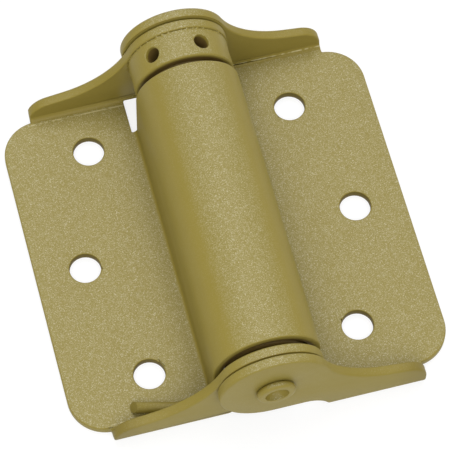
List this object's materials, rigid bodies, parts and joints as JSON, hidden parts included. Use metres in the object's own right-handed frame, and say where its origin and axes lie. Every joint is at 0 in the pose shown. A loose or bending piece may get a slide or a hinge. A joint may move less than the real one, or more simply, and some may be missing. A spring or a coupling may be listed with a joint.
{
  "type": "spring hinge",
  "caption": "Spring hinge with flat screw-on leaves, folded ears, a rolled spring barrel, a drilled winding collar and a riveted pin.",
  "frame": {"origin": "on the plane of the leaves' back faces, below the middle of the pin", "axes": "+Z out of the leaves' front, towards the barrel; +Y along the pin, towards the winding collar; +X across, towards the leaf with the outer ears"},
  "size_m": [0.0762, 0.0826, 0.0259],
  "materials": {
    "gold_paint": "satin gold paint with fine metallic flake"
  },
  "bodies": {
    "fixed_leaf": {"inner_leaf": "gold_paint", "torsion_spring": "gold_paint"},
    "swinging_leaf": {"outer_leaf": "gold_paint", "hinge_pin": "gold_paint"},
    "collar": {"adjusting_collar": "gold_paint"}
  },
  "joints": [
    {"name": "leaf_swing", "type": "hinge", "parent": "fixed_leaf", "child": "swinging_leaf", "pos_m": [0, 0, 0.015], "axis": [0, -1, 0], "range_deg": [0, 180], "stiffness_Nm_per_rad": 0.15, "springref_deg": -45.84},
    {"name": "collar_turn", "type": "hinge", "parent": "fixed_leaf", "child": "collar", "pos_m": [0, 0, 0.015], "axis": [0, 1, 0], "range_deg": [0, 270], "stiffness_Nm_per_rad": 0.15, "deforming": ["torsion_spring"]}
  ]
}
